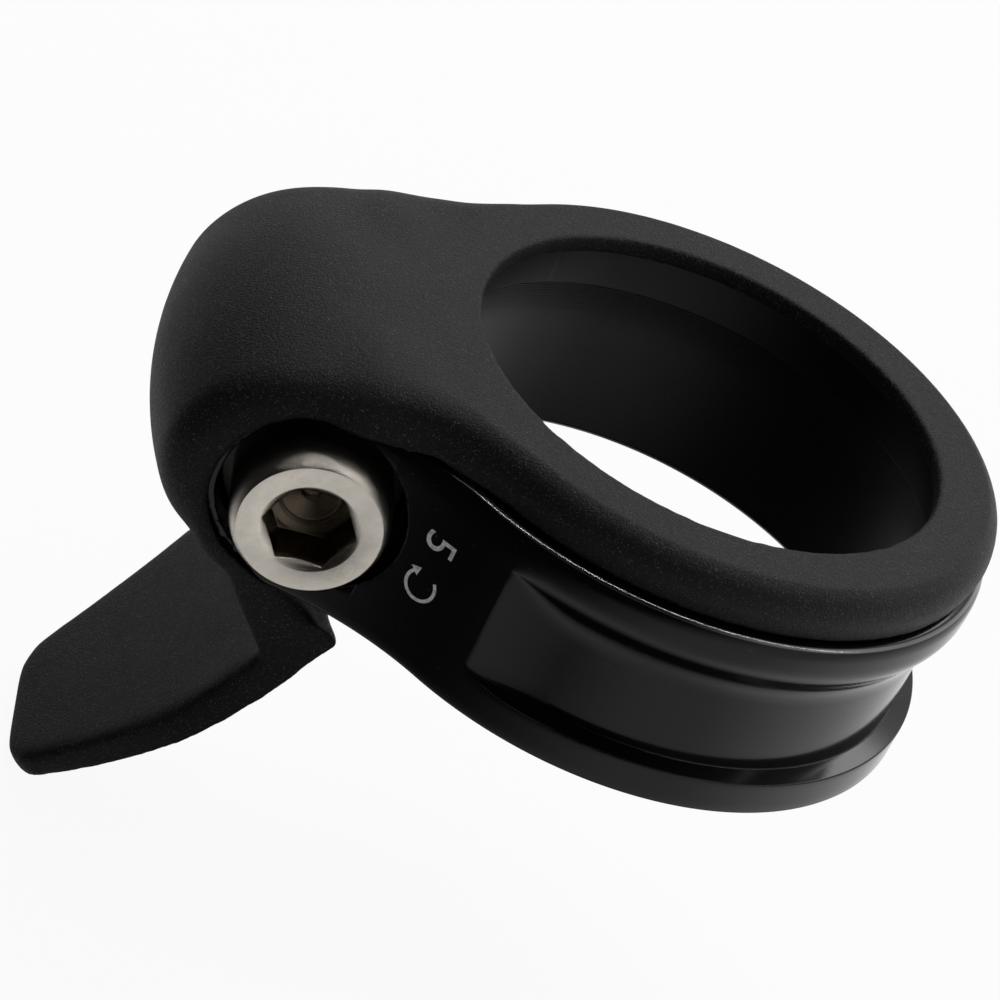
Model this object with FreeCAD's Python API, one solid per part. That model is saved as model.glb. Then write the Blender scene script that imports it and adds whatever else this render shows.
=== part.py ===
"""Seatpost clamp: split collar, soft moulded cover, cap screw and washer.

Millimetres. Z is the seat tube's axis and Z = 0 is the ledge that stops on the tube's top edge.
The lugs and the slit face -X, and the screw lies along Y with its head on the -Y side.
"""
import FreeCAD, Part
import math
import os

Vector = FreeCAD.Vector

# Tube and post
TUBE_BORE_R = 17.5          # holds a seat tube of 34.9 mm
POST_SEAL_R = 15.4          # lip that wipes a post of 30.9 mm
FIT_GAP = 0.1               # between the cover and the collar

# Collar
WALL = 2.95
LEDGE = 0.7                 # how far the stop ledge stands in from the bore
BODY_HEIGHT = 13.2
SHOULDER_Z = 1.25
SPIGOT_TOP_Z = 3.5
SPIGOT_WALL = 1.5
BORE_CHAMFER = 0.4
SHOULDER_CHAMFER = 0.5
FOOT_CHAMFER = 0.3
SLIT = 2.5

# Waist groove round the collar
WAIST_DEPTH = 1.25
WAIST_TOP_Z = -2.35
WAIST_BOTTOM_Z = -9.35
WAIST_UPPER_SLOPE = 1.35    # height of the slope above the waist
WAIST_LOWER_BEVEL = 0.2     # height of the bevel below it
WAIST_END_X = -10.9
WAIST_RUN = 3.2             # length over which its floor rises to the outer face at each end

# Lugs
BOLT_X = -22.3
BOLT_DROP = 6.4             # of the screw's axis below the shoulder
LUG_HALF_WIDTH = 11.3
LUG_BLEND_R = 20.0

# Cap screw, M6 with a 5 mm hexagon socket, and its washer
THREAD_R = 3.0
THREAD_GAP = 0.05
SHANK_LENGTH = 20.0
TIP_CHAMFER = 0.7
HEAD_R = 4.88
HEAD_HEIGHT = 6.0
HEAD_CHAMFER = 0.5
HEX_FLATS = 5.0
HEX_DEPTH = 3.2
HEX_CHAMFER = 0.3
DRILL_POINT = 1.1
HEAD_FACE_Y = -14.5
HOLE_GAP = 0.3
SINK_GAP = 0.85             # round the head in its counterbore
WASHER_THICKNESS = 1.0
WASHER_HOLE_GAP = 0.2
WASHER_EDGE_GAP = 0.15

# Cover: cap over the collar's top and hood round the lugs
LIP_THICKNESS = 1.25
COVER_INSET = 0.6           # the cap's edge stands in from the collar's
HOOD_HALF_WIDTH = 12.2
HOOD_BLEND_R = 20.0
HOOD_REAR_R = 10.2          # upper rear of the hood in the middle, seen from the side
HOOD_REAR_OFFSET = 0.65     # its centre lies behind the screw's axis
HOOD_REAR_DROP = 0.4        # and below it
HOOD_LOW_R = 7.6            # lower rear, from HOOD_LOW_ANGLE on
HOOD_LOW_ANGLE = 160.0
HOOD_END_ANGLE = 285.0
HOOD_CROWN_R = 45.0         # across the width
HOOD_SIDE_CHAMFER = 0.9
HOOD_SIDE_R = 7.7           # of the flat sides' lower edge, about the screw's axis
FLAT_TOP = 2.3              # flat rim round the post before the hood falls away
CAP_ROUND = 1.9
HOOD_ROUND = 2.6
HOOD_DEPTH = 8.0            # of the sections the hood is made from, before it is hollowed

# Opening in the hood's sides, and the tongue under the hood
WINDOW_R = 6.1              # round the screw's axis
FLOOR_ANGLE = 23.4          # slope of the opening's lower edge
TONGUE_DROP = 21.8          # height from the tongue's root to its free end
TONGUE_REACH = 13.7         # how far it leans out over that height
TONGUE_SETBACK = 0.6        # of its root behind the collar's outer face
TONGUE_BULGE = 1.25
TONGUE_ROOT = 2.7           # thickness
TONGUE_TIP = 1.85
TONGUE_ROOT_HALF_WIDTH = 10.95
TONGUE_MID_HALF_WIDTH = 10.4
TONGUE_END_HALF_WIDTH = 5.7
TONGUE_CORNER_R = 4.3
NOTCH_DOWN = 4.2            # where the hood's underside runs into the tongue
NOTCH_HOLLOW = 0.05
HEEL_ANGLE = 262.0          # where the hood's side turns down to that notch
TONGUE_RELIEF_R = 33.0      # hollow towards the tube
TONGUE_RELIEF_DEPTH = 2.2

# Worked out from the sizes above
RING_R = TUBE_BORE_R + WALL
LEDGE_R = TUBE_BORE_R - LEDGE
SPIGOT_R = LEDGE_R + SPIGOT_WALL
BOTTOM_Z = SHOULDER_Z - BODY_HEIGHT
LUG_R = BODY_HEIGHT / 2
LUG_Z = SHOULDER_Z - LUG_R
BOLT_Z = SHOULDER_Z - BOLT_DROP
COVER_TOP_Z = SPIGOT_TOP_Z + LIP_THICKNESS
COVER_R = RING_R - COVER_INSET
RIM_X = -(POST_SEAL_R + FLAT_TOP)
SEAT_Y = HEAD_FACE_Y + HEAD_HEIGHT
SINK_Y = SEAT_Y + WASHER_THICKNESS
SINK_R = HEAD_R + SINK_GAP
SHANK_R = THREAD_R - THREAD_GAP
REACH = 3 * RING_R          # longer than any part of the clamp


def at(x, z, y=0.0):
    """Point in a plane seen from the side."""
    return Vector(x, y, z)


def line(start, end):
    return Part.makeLine(start, end)


def arc(start, middle, end):
    return Part.Arc(start, middle, end).toShape()


def prism(edges, direction):
    """Solid swept straight from a closed chain of edges."""
    return Part.Face(Part.Wire(edges)).extrude(direction)


def polygon(points):
    return [line(a, b) for a, b in zip(points, points[1:] + points[:1])]


def revolve(points):
    """Solid of revolution about Z from (radius, z) corners."""
    edges = polygon([at(r, z) for r, z in points])
    return Part.Face(Part.Wire(edges)).revolve(Vector(), Vector(0, 0, 1), 360)


def bolt_cylinder(radius, start_y, end_y):
    """Cylinder on the screw's axis."""
    return Part.makeCylinder(radius, end_y - start_y, at(BOLT_X, BOLT_Z, start_y), Vector(0, 1, 0))


def bolt_cone(start_r, end_r, start_y, end_y):
    return Part.makeCone(start_r, end_r, end_y - start_y, at(BOLT_X, BOLT_Z, start_y), Vector(0, 1, 0))


def ring_arc(centre, radius, angles):
    """Arc in plan through three angles in degrees."""
    points = []
    for angle in angles:
        a = math.radians(angle)
        points.append(centre + Vector(radius * math.cos(a), radius * math.sin(a), 0))
    return arc(*points)


def plan_outline(ring_r, half_width, blend_r, end_x, z):
    """Ring seen from above, run into a straight-sided lug at -X by two hollow blends."""
    blend_y = half_width + blend_r
    blend_x = -math.sqrt((ring_r + blend_r) ** 2 - blend_y ** 2)
    end_x = min(end_x, blend_x - ring_r / 10)
    turn = math.degrees(math.atan2(blend_y, blend_x))
    near = ring_arc(Vector(blend_x, -blend_y, z), blend_r, (90, 45 + (180 - turn) / 2, 180 - turn))
    far = ring_arc(Vector(blend_x, blend_y, z), blend_r, (turn - 180, (turn - 270) / 2, -90))
    ring = ring_arc(Vector(0, 0, z), ring_r, (-turn, 0, turn))
    corners = [Vector(blend_x, half_width, z), Vector(end_x, half_width, z),
               Vector(end_x, -half_width, z), Vector(blend_x, -half_width, z)]
    sides = [line(a, b) for a, b in zip(corners, corners[1:])]
    return [near, ring, far] + sides


def edges_where(shape, test):
    return [edge for edge in shape.Edges if test(edge)]


def plan_prism(grow=0.0):
    """Ring and lugs before the lugs' free end is rounded, grown on all sides if need be."""
    low_z = BOTTOM_Z - grow
    end_x = BOLT_X - 2 * LUG_R
    outline = plan_outline(RING_R + grow, LUG_HALF_WIDTH + grow, LUG_BLEND_R - grow, end_x, low_z)
    return prism(outline, Vector(0, 0, BODY_HEIGHT + 2 * grow))


def round_end(grow=0.0):
    """All of the space from the lugs' full-round free end towards +X."""
    near = Vector(0, -REACH, 0)
    radius = LUG_R + grow
    top = at(BOLT_X, LUG_Z + radius) + near
    rear = at(BOLT_X - radius, LUG_Z) + near
    foot = at(BOLT_X, LUG_Z - radius) + near
    across_x = Vector(REACH, 0, 0)
    edges = [arc(top, rear, foot), line(foot, foot + across_x),
             line(foot + across_x, top + across_x), line(top + across_x, top)]
    return prism(edges, Vector(0, 2 * REACH, 0))


def waist_span(floor_r):
    """Space round the collar in which the waist is cut: its sides slope from the floor to the outer face."""
    end = Vector(WAIST_END_X, math.sqrt(RING_R ** 2 - WAIST_END_X ** 2), -REACH)
    deep_x = WAIST_END_X + WAIST_RUN
    deep = Vector(deep_x, math.sqrt(floor_r ** 2 - deep_x ** 2), -REACH)
    past = deep + (end - deep) * (2 * RING_R / WAIST_RUN)
    far = [deep, past, Vector(past.x, REACH, -REACH), Vector(REACH, REACH, -REACH)]
    near = [Vector(p.x, -p.y, p.z) for p in reversed(far)]
    return prism(polygon(far + near), Vector(0, 0, 2 * REACH))


def make_collar():
    blank = plan_prism()
    shoulder = edges_where(blank, lambda edge: edge.BoundBox.ZMin > SHOULDER_Z - FIT_GAP
                           and edge.BoundBox.XMax > BOLT_X)
    blank = blank.makeChamfer(SHOULDER_CHAMFER, shoulder)
    foot = edges_where(blank, lambda edge: edge.BoundBox.ZMax < BOTTOM_Z + FIT_GAP
                       and edge.BoundBox.XMax > BOLT_X)
    body = blank.makeChamfer(FOOT_CHAMFER, foot).common(round_end())

    waist_r = RING_R - WAIST_DEPTH
    waist = revolve([(waist_r, WAIST_TOP_Z), (RING_R, WAIST_TOP_Z + WAIST_UPPER_SLOPE),
                     (RING_R + WALL, WAIST_TOP_Z + WAIST_UPPER_SLOPE),
                     (RING_R + WALL, WAIST_BOTTOM_Z - WAIST_LOWER_BEVEL),
                     (RING_R, WAIST_BOTTOM_Z - WAIST_LOWER_BEVEL), (waist_r, WAIST_BOTTOM_Z)])
    waist = waist.common(waist_span(waist_r))
    spigot = revolve([(LEDGE_R, BOLT_Z), (SPIGOT_R, BOLT_Z), (SPIGOT_R, SPIGOT_TOP_Z),
                      (LEDGE_R, SPIGOT_TOP_Z)])
    bore = revolve([(0, BOTTOM_Z), (TUBE_BORE_R + BORE_CHAMFER, BOTTOM_Z),
                    (TUBE_BORE_R, BOTTOM_Z + BORE_CHAMFER), (TUBE_BORE_R, 0), (LEDGE_R, 0),
                    (LEDGE_R, SPIGOT_TOP_Z), (0, SPIGOT_TOP_Z)])
    slit = Part.makeBox(REACH, SLIT, 2 * REACH, Vector(-REACH, -SLIT / 2, -REACH))
    holes = [bolt_cylinder(SINK_R, -REACH, SINK_Y), bolt_cylinder(THREAD_R + HOLE_GAP, SINK_Y, 0),
             bolt_cylinder(THREAD_R, 0, REACH)]
    collar = body.cut(waist).fuse(spigot).cut(bore).cut(slit)
    return collar.cut(holes[0].multiFuse(holes[1:])).removeSplitter()


def floor_tangent():
    """Where the opening's sloping floor leaves its round end, and the way it runs."""
    slope = math.radians(FLOOR_ANGLE)
    touch = at(BOLT_X - WINDOW_R * math.sin(slope), BOLT_Z - WINDOW_R * math.cos(slope))
    return touch, at(math.cos(slope), -math.sin(slope))


def tongue_root():
    """Tip of the hood under the lugs, a little behind the collar's outer face."""
    touch, way = floor_tangent()
    root_x = -math.sqrt(RING_R ** 2 - HOOD_HALF_WIDTH ** 2) - TONGUE_SETBACK
    return touch + way * ((root_x - touch.x) / way.x)


def across(axis, angle, radius, half_width, crown_r, edge_r):
    """Closed section of the hood in a half-plane through a line along Y: crowned, with round edges."""
    out = at(math.cos(angle), math.sin(angle))
    side = Vector(0, 1, 0)
    crown_centre = radius - crown_r
    edge_y = half_width - edge_r
    edge_out = crown_centre + math.sqrt((crown_r - edge_r) ** 2 - edge_y ** 2)
    lean = math.atan2(edge_y, edge_out - crown_centre)

    def place(y, r):
        return axis + side * y + out * r

    def edge_point(turn, sign):
        return place(sign * (edge_y + edge_r * math.sin(turn)), edge_out + edge_r * math.cos(turn))

    turns = (lean, (lean + math.pi / 2) / 2, math.pi / 2)
    near = [edge_point(turn, -1) for turn in reversed(turns)]
    far = [edge_point(turn, 1) for turn in turns]
    foot_out = max(radius - HOOD_DEPTH, FIT_GAP)
    near_foot = place(-half_width, foot_out)
    far_foot = place(half_width, foot_out)
    return Part.Wire([line(near_foot, near[0]), arc(*near), arc(near[2], place(0, radius), far[0]),
                      arc(*far), line(far[2], far_foot), line(far_foot, near_foot)])


def make_hood(cap):
    """Top that falls away from the cap's flat rim, and the rear of two radii behind the lugs."""
    rear = at(BOLT_X - HOOD_REAR_OFFSET, BOLT_Z - HOOD_REAR_DROP)
    rise = COVER_TOP_Z - rear.z
    top_r = ((RIM_X - rear.x) ** 2 + rise ** 2 - HOOD_REAR_R ** 2) / (2 * (rise - HOOD_REAR_R))
    top = at(RIM_X, COVER_TOP_Z - top_r)
    turn = math.atan2(rear.z - top.z, rear.x - top.x)
    half_turn = (math.pi / 2 + turn) / 2
    half_width = outline_half_width(RIM_X + top_r * math.cos(half_turn))
    rim = [face for face in cap.Faces if face.BoundBox.XMax < RIM_X + FIT_GAP][0]
    halfway = across(top, half_turn, top_r, half_width, 2 * HOOD_CROWN_R, (CAP_ROUND + HOOD_ROUND) / 2)
    brow = across(rear, turn, HOOD_REAR_R, HOOD_HALF_WIDTH, HOOD_CROWN_R, HOOD_ROUND)
    fall = Part.makeLoft([rim.OuterWire, halfway, brow], True, False)

    low_turn = math.radians(HOOD_LOW_ANGLE)
    low = rear + at(math.cos(low_turn), math.sin(low_turn)) * (HOOD_REAR_R - HOOD_LOW_R)
    nape = across(low, low_turn, HOOD_LOW_R, HOOD_HALF_WIDTH, HOOD_CROWN_R, HOOD_ROUND)
    axis = Vector(0, -1, 0)
    upper = Part.Face(brow).revolve(rear, axis, HOOD_LOW_ANGLE - math.degrees(turn))
    lower = Part.Face(nape).revolve(low, axis, HOOD_END_ANGLE - HOOD_LOW_ANGLE)
    return [fall, upper, lower]


def outline_half_width(x):
    """Half the cap's width in the hollow blend between ring and hood."""
    blend_y = HOOD_HALF_WIDTH + HOOD_BLEND_R
    blend_x = -math.sqrt((COVER_R + HOOD_BLEND_R) ** 2 - blend_y ** 2)
    if x < blend_x:
        return HOOD_HALF_WIDTH
    return blend_y - math.sqrt(HOOD_BLEND_R ** 2 - (x - blend_x) ** 2)


def make_cap():
    low_z = COVER_TOP_Z - HOOD_DEPTH
    outline = plan_outline(COVER_R, HOOD_HALF_WIDTH, HOOD_BLEND_R, BOLT_X, low_z)
    cap = prism(outline, Vector(0, 0, HOOD_DEPTH))
    top_edges = edges_where(cap, lambda edge: abs(edge.BoundBox.ZMin - COVER_TOP_Z) < 0.001)
    cap = cap.makeFillet(CAP_ROUND, top_edges)
    return cap.common(Part.makeBox(REACH + RING_R, 2 * REACH, REACH, Vector(RIM_X, -REACH, low_z)))


def make_tongue():
    root = tongue_root()
    length = math.hypot(TONGUE_REACH, TONGUE_DROP)
    along = at(-TONGUE_REACH / length, -TONGUE_DROP / length)
    out = at(-TONGUE_DROP / length, TONGUE_REACH / length)
    wide = Vector(0, HOOD_HALF_WIDTH, 0)
    inner = [root, root + along * (length / 2) - out * TONGUE_BULGE, root + along * length]
    outer = [inner[0] + out * TONGUE_ROOT, inner[1] + out * (TONGUE_ROOT + TONGUE_TIP) * 0.5,
             inner[2] + out * TONGUE_TIP]
    blade = prism([arc(*[p - wide for p in inner]), line(inner[2] - wide, outer[2] - wide),
                   arc(*[p - wide for p in reversed(outer)]), line(outer[0] - wide, inner[0] - wide)],
                  wide * 2)

    def flat(s, y):
        return root + along * s + Vector(0, y, 0) - out * REACH

    near, far = [[flat(-TONGUE_ROOT, side * HOOD_HALF_WIDTH),
                  flat(TONGUE_ROOT, side * TONGUE_ROOT_HALF_WIDTH),
                  flat(length / 2, side * TONGUE_MID_HALF_WIDTH),
                  flat(length, side * TONGUE_END_HALF_WIDTH)] for side in (-1, 1)]
    outline = prism([line(near[0], near[1]), arc(*near[1:]), line(near[3], far[3]),
                     arc(*reversed(far[1:])), line(far[1], far[0]), line(far[0], near[0])],
                    out * (2 * REACH))
    corners = edges_where(outline, lambda edge: edge.BoundBox.YLength < FIT_GAP
                          and abs(abs(edge.CenterOfMass.y) - TONGUE_END_HALF_WIDTH) < FIT_GAP)
    tongue = blade.common(outline.makeFillet(TONGUE_CORNER_R, corners))
    share = NOTCH_DOWN / length
    depth = TONGUE_ROOT + share * (TONGUE_TIP - TONGUE_ROOT) - 4 * TONGUE_BULGE * share * (1 - share)
    notch = root + along * NOTCH_DOWN + out * (depth - FIT_GAP)
    screw = at(BOLT_X, BOLT_Z)
    heel = screw + at(math.cos(math.radians(HEEL_ANGLE)), math.sin(math.radians(HEEL_ANGLE))) * HOOD_SIDE_R
    hollow = (notch + heel) * 0.5 + (screw - (notch + heel) * 0.5) * NOTCH_HOLLOW
    corners = [p - wide for p in (root, notch, hollow, heel, screw)]
    web = prism([line(corners[0], corners[1]), arc(*corners[1:4]), line(corners[3], corners[4]),
                 line(corners[4], corners[0])], wide * 2)
    return [tongue, web]


def make_window():
    """Opening right through the hood: round about the screw, its roof level and its floor sloping."""
    touch, way = floor_tangent()
    near = Vector(0, -REACH, 0)
    foot = touch + way * REACH + near
    roof = at(BOLT_X, BOLT_Z + WINDOW_R) + near
    roof_end = Vector(foot.x, roof.y, roof.z)
    edges = [arc(roof, at(BOLT_X - WINDOW_R, BOLT_Z) + near, touch + near), line(touch + near, foot),
             line(foot, roof_end), line(roof_end, roof)]
    return prism(edges, Vector(0, 2 * REACH, 0))


def make_cheeks():
    """Flat sides of the hood round the screw, with chamfered edges."""
    side_y = HOOD_HALF_WIDTH - HOOD_SIDE_CHAMFER
    edge_r = HOOD_SIDE_R - HOOD_SIDE_CHAMFER
    return [bolt_cylinder(HOOD_SIDE_R, -side_y, side_y),
            bolt_cone(edge_r, HOOD_SIDE_R, -HOOD_HALF_WIDTH, -side_y),
            bolt_cone(HOOD_SIDE_R, edge_r, side_y, HOOD_HALF_WIDTH)]


def make_cover():
    cap = make_cap()
    whole = cap.multiFuse(make_hood(cap) + make_cheeks() + make_tongue())
    collar_room = plan_prism(FIT_GAP).common(round_end(FIT_GAP))
    pocket = Part.makeCylinder(SPIGOT_R + FIT_GAP, SPIGOT_TOP_Z, Vector())
    seal = Part.makeCylinder(POST_SEAL_R, REACH, Vector())
    root = tongue_root()
    relief_x = root.x - TONGUE_RELIEF_DEPTH + TONGUE_RELIEF_R
    relief_z = root.z - BODY_HEIGHT + LUG_R
    relief = Part.makeCylinder(TONGUE_RELIEF_R, BODY_HEIGHT, Vector(relief_x, 0, relief_z))
    return whole.cut(make_window()).cut(collar_room).cut(pocket).cut(seal).cut(relief).removeSplitter()


def make_bolt():
    face_r = HEAD_R - HEAD_CHAMFER
    head = bolt_cylinder(HEAD_R, HEAD_FACE_Y + HEAD_CHAMFER, SEAT_Y)
    head = head.fuse(bolt_cone(face_r, HEAD_R, HEAD_FACE_Y, HEAD_FACE_Y + HEAD_CHAMFER))
    tip_y = SEAT_Y + SHANK_LENGTH
    shank = bolt_cylinder(SHANK_R, SEAT_Y, tip_y - TIP_CHAMFER)
    tip = bolt_cone(SHANK_R, SHANK_R - TIP_CHAMFER, tip_y - TIP_CHAMFER, tip_y)
    corner_r = HEX_FLATS / math.sqrt(3)
    corners = []
    for side in range(6):
        angle = math.radians(60 * side)
        corner = at(corner_r * math.cos(angle), corner_r * math.sin(angle))
        corners.append(at(BOLT_X, BOLT_Z, HEAD_FACE_Y) + corner)
    socket = prism(polygon(corners), Vector(0, HEX_DEPTH, 0))
    mouth = bolt_cone(corner_r + HEX_CHAMFER / 2, corner_r - HEX_CHAMFER, HEAD_FACE_Y,
                      HEAD_FACE_Y + HEX_CHAMFER)
    floor_y = HEAD_FACE_Y + HEX_DEPTH
    point = bolt_cone(HEX_FLATS / 2, 0, floor_y, floor_y + DRILL_POINT)
    return head.fuse(shank).fuse(tip).cut(socket.fuse(mouth).fuse(point)).removeSplitter()


def make_washer():
    disc = bolt_cylinder(SINK_R - WASHER_EDGE_GAP, SEAT_Y, SINK_Y)
    return disc.cut(bolt_cylinder(THREAD_R + WASHER_HOLE_GAP, SEAT_Y, SINK_Y))


os.makedirs("parts", exist_ok=True)
nodes = {"clamp_ring": make_collar(), "cover": make_cover(), "clamp_bolt": make_bolt(),
         "washer": make_washer()}
for name, shape in nodes.items():
    shape.exportStep("parts/%s.step" % name)
    print(name, len(shape.Solids), shape.isValid(), round(shape.Volume, 2))
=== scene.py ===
import math

import bmesh
import bpy
import numpy as np
from bpy.props import FloatProperty, FloatVectorProperty, IntProperty, PointerProperty
from mathutils import Matrix, Vector
from mathutils.bvhtree import BVHTree


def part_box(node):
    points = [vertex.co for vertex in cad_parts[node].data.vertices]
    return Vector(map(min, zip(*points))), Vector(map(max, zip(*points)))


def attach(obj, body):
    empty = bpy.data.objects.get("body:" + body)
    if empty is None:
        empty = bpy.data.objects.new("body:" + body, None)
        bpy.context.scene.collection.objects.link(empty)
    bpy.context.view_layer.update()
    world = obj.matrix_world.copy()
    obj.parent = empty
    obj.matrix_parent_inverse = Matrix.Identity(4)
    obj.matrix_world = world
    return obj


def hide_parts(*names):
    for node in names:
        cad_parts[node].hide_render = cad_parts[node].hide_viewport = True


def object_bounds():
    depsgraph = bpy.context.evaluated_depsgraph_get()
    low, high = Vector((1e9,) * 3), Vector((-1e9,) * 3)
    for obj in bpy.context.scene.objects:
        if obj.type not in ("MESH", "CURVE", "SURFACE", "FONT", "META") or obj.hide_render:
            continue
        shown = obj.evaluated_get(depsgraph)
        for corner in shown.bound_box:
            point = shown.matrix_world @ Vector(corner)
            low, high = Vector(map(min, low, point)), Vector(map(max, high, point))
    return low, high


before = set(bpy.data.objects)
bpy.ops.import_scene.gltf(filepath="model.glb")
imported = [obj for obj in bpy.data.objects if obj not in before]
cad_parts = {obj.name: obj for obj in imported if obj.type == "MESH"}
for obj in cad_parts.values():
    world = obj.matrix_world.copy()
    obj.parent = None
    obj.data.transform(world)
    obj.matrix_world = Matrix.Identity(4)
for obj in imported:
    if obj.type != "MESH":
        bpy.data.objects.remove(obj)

bl_info = {
    "name": "Seatpost clamp",
    "version": (1, 0, 0),
    "blender": (4, 5, 0),
    "location": "View3D > Sidebar > Clamp",
    "description": "Dresses a packed seatpost clamp: collar, cover, cap screw, washer and mark",
    "category": "Object",
}

MM = 0.001
CAD_BOX = [list(corner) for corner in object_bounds()]
SCREW_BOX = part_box("clamp_bolt")
WASHER_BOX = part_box("washer")
SCREW_X = (SCREW_BOX[0][0] + SCREW_BOX[1][0]) / 2
SCREW_Z = (SCREW_BOX[0][2] + SCREW_BOX[1][2]) / 2
HEAD_Y = SCREW_BOX[0][1]
TIP_Y = SCREW_BOX[1][1]

# The collar in mm: radii, heights, waist, slit, lugs, and the hollow curve that leads to the lugs.
BORE, LEDGE, SPIGOT, WALL = 17.5, 16.8, 18.3, 20.45
LOW, TOP, SPIGOT_TOP = -11.95, 1.25, 3.5
WAIST_DEPTH, WAIST_END_X, WAIST_RUN_OUT = 1.25, -10.9, 0.25
SLIT_HALF, LUG_FACE = 1.25, 11.3
NOSE_R, NOSE_Z = 6.6, -5.35
BLEND, BLEND_R = Vector((-25.62, 31.3)), 20.0
SHANK_HOLE_R, TAPPED_HOLE_R, SINK_FLOOR_Y = 3.3, 3.0, -7.5
ROUND_STEPS = 4
INNER_COUNT = 7 * (ROUND_STEPS + 1)

# The cover's tongue in mm, in x and z: where it starts, the way it runs and how far.
TONGUE_ROOT = (-17.0, -14.09)
TONGUE_WAY = (-0.532, -0.847)
TONGUE_LENGTH = 25.75
TONGUE_LONGER = 0.45
HOOD_HALF = 12.2

WHITE = (1.0, 1.0, 1.0, 1.0)


class Term:
    """A shader socket that can stand in a Python expression."""

    def __init__(self, shop, socket):
        self.shop = shop
        self.socket = socket

    def maths(self, operation, *values):
        return self.shop.node("ShaderNodeMath", {"operation": operation}, dict(enumerate(values)))

    def __add__(self, other):
        return self.maths("ADD", self, other)

    def __radd__(self, other):
        return self.maths("ADD", other, self)

    def __sub__(self, other):
        return self.maths("SUBTRACT", self, other)

    def __rsub__(self, other):
        return self.maths("SUBTRACT", other, self)

    def __mul__(self, other):
        return self.maths("MULTIPLY", self, other)

    def __rmul__(self, other):
        return self.maths("MULTIPLY", other, self)

    def __pow__(self, other):
        return self.maths("POWER", self, other)

    def __abs__(self):
        return self.maths("ABSOLUTE", self)

    def ramp(self, low, high):
        """0 below low, 1 above high and a soft step between them; low may be the larger."""
        return self.shop.node("ShaderNodeMapRange", {"interpolation_type": "SMOOTHSTEP"},
                              {"Value": self, "From Min": low, "From Max": high})


class NodeShop:
    """Makes the nodes of one material or world."""

    def __init__(self, owner):
        owner.use_nodes = True
        self.tree = owner.node_tree
        self.tree.nodes.clear()

    def node(self, kind, settings=None, inputs=None, out=0):
        """Add a node, set its settings, then its sockets; gives the output asked for."""
        made = self.tree.nodes.new(kind)
        for name, value in (settings or {}).items():
            setattr(made, name, value)
        for name, value in (inputs or {}).items():
            if isinstance(value, Term):
                self.tree.links.new(value.socket, made.inputs[name])
            else:
                made.inputs[name].default_value = value
        return Term(self, made.outputs[out]) if made.outputs else None

    def tint(self, factor, first, second):
        """Colour between two others."""
        return self.node("ShaderNodeMix", {"data_type": "RGBA"}, {0: factor, 6: first, 7: second}, 2)

    def place(self, scale=(1.0, 1.0, 1.0)):
        """Place on the piece in millimetres, stretched if need be."""
        here = self.node("ShaderNodeTexCoord", out="Object")
        return self.node("ShaderNodeVectorMath", {"operation": "MULTIPLY"},
                         {0: here, 1: tuple(1000.0 * s for s in scale)})

    def parts(self, vector):
        """The three numbers of a vector."""
        split = self.node("ShaderNodeSeparateXYZ", inputs={0: vector})
        return [Term(self, socket) for socket in split.socket.node.outputs]

    def noise(self, place, scale, detail=2.0, roughness=0.5):
        return self.node("ShaderNodeTexNoise", {},
                         {"Vector": place, "Scale": scale, "Detail": detail, "Roughness": roughness})

    def bump(self, height, strength, distance):
        return self.node("ShaderNodeBump", {},
                         {"Height": height, "Strength": strength, "Distance": distance})

    def blend(self, factor, first, second):
        """Shader between two others."""
        return self.node("ShaderNodeMixShader", {}, {0: factor, 1: first, 2: second})

    def surface(self, **sockets):
        """Principled surface; names have underscores for spaces."""
        inputs = {name.replace("_", " "): value for name, value in sockets.items()}
        shader = self.node("ShaderNodeBsdfPrincipled", {}, inputs)
        self.node("ShaderNodeOutputMaterial", {}, {"Surface": shader})


def new_finish(name):
    material = bpy.data.materials.new(name)
    return material, NodeShop(material)


def rgba(colour, share=1.0):
    """Colour with full cover, made lighter or darker by a share."""
    return tuple(c * share for c in colour) + (1.0,)


def from_screw(x, z):
    """Distance from the screw's axis in mm."""
    across = x - SCREW_X / MM
    down = z - SCREW_Z / MM
    return (across * across + down * down) ** 0.5


def black_anodising(settings):
    """Gloss black dyed aluminium with turning marks in the bore and a lighter metallic band on the shoulder's
    edge, a painted highlight line.
    """
    material, shop = new_finish("gloss_black_anodising")
    place = shop.place()
    x, y, z = shop.parts(place)
    radius = (x * x + y * y) ** 0.5
    inside = radius.ramp(BORE + 0.14, BORE + 0.06)
    in_bore = inside * z.ramp(0.02, -0.06)
    rings = z.maths("SINE", z * 37.0) * z.ramp(-4.5, -0.3)
    tool = shop.noise(shop.place((0.0, 0.0, 1.0)), 5.0, 2.0)
    cloud = shop.noise(place, 0.35, 3.0)
    grain = shop.noise(place, 9.0, 2.0)
    dust = shop.noise(place, 3.2, 1.0).ramp(0.74, 0.8)
    edge_line = WALL - TOP - 0.13
    # Painted highlight: a lighter, metallic band along the shoulder's top edge that brightens its highlight
    # line.
    painted_highlight_band = abs(z - radius + edge_line).ramp(0.24, 0.1) * radius.ramp(19.6, 19.9) * (0.6 + cloud * 0.8)
    dyed = shop.tint(dust * 0.35, rgba(settings.colour), (0.06, 0.06, 0.065, 1.0))
    # The painted highlight band lightens the dyed colour here.
    colour = shop.tint(painted_highlight_band, dyed, (0.2, 0.2, 0.21, 1.0))
    roughness = settings.roughness + (cloud - 0.5) * 0.06 + inside * 0.2 + dust * 0.2
    height = (rings * 0.7 + tool * 0.6) * in_bore + grain * 0.12
    shop.surface(Base_Color=colour, Metallic=painted_highlight_band, Roughness=roughness, IOR=1.37,
                 Normal=shop.bump(height, 0.35, 0.00003))
    return material


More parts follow.
